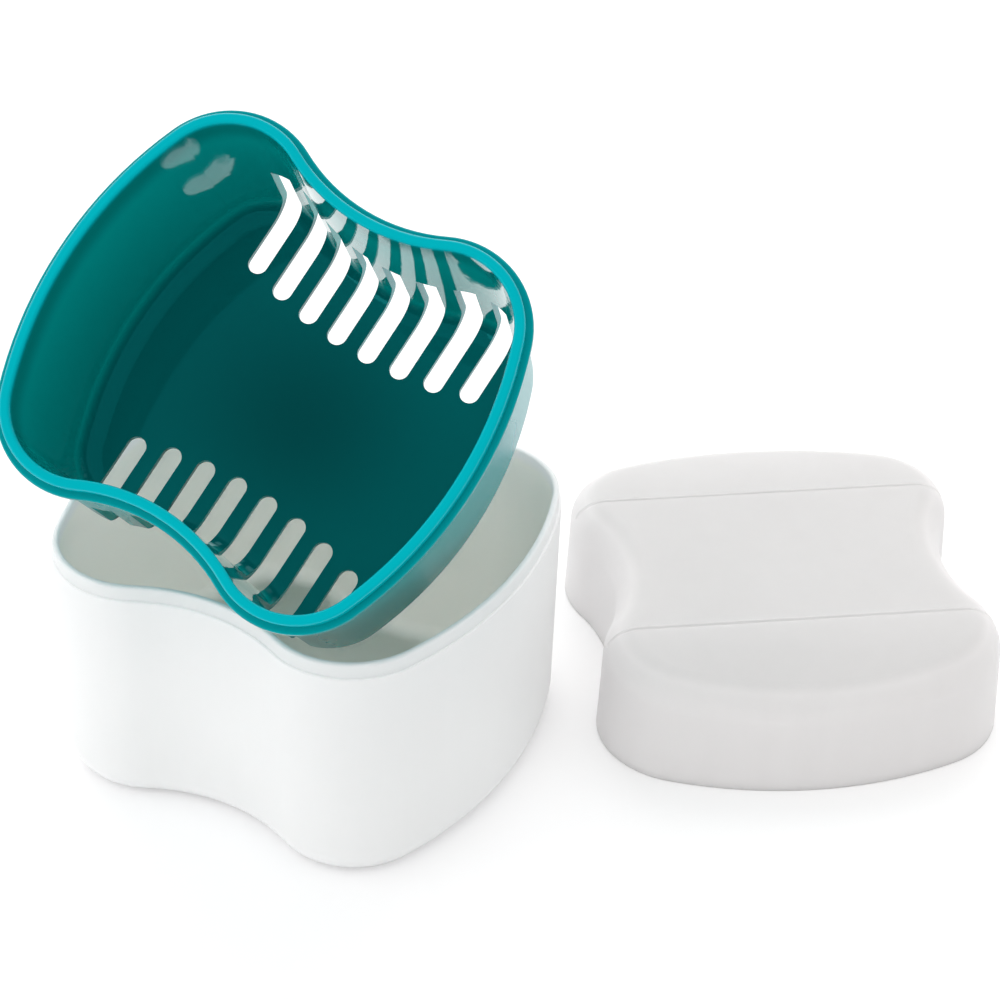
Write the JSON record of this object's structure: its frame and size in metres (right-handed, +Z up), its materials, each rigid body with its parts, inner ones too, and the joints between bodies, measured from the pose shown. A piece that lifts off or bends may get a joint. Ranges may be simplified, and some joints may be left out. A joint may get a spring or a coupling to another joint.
{
  "type": "retainer cleaning case",
  "caption": "Waisted open cup with a drain-slotted strainer basket leaning in it and a domed lid standing beside it, for cleaning retainers.",
  "frame": {"origin": "middle of the case's flat base", "axes": "+Z up, X across the case's two waists, Y towards its two rounded ends"},
  "size_m": [0.166, 0.1693, 0.1282],
  "materials": {
    "case_white": "smooth white moulding with a soft sheen",
    "basket_teal": "polished teal moulding",
    "lid_frosted": "frosted, slightly see-through white"
  },
  "bodies": {
    "case": {"case": "case_white"},
    "basket": {"basket": "basket_teal"},
    "lid": {"lid": "lid_frosted"}
  },
  "joints": [
    {"name": "basket_lift", "type": "slide", "parent": "case", "child": "basket", "axis": [0, 0, 1], "range_m": [0, 0.06]},
    {"name": "lid_lift", "type": "slide", "parent": "case", "child": "lid", "axis": [0, 0, 1], "range_m": [0, 0.08]}
  ]
}
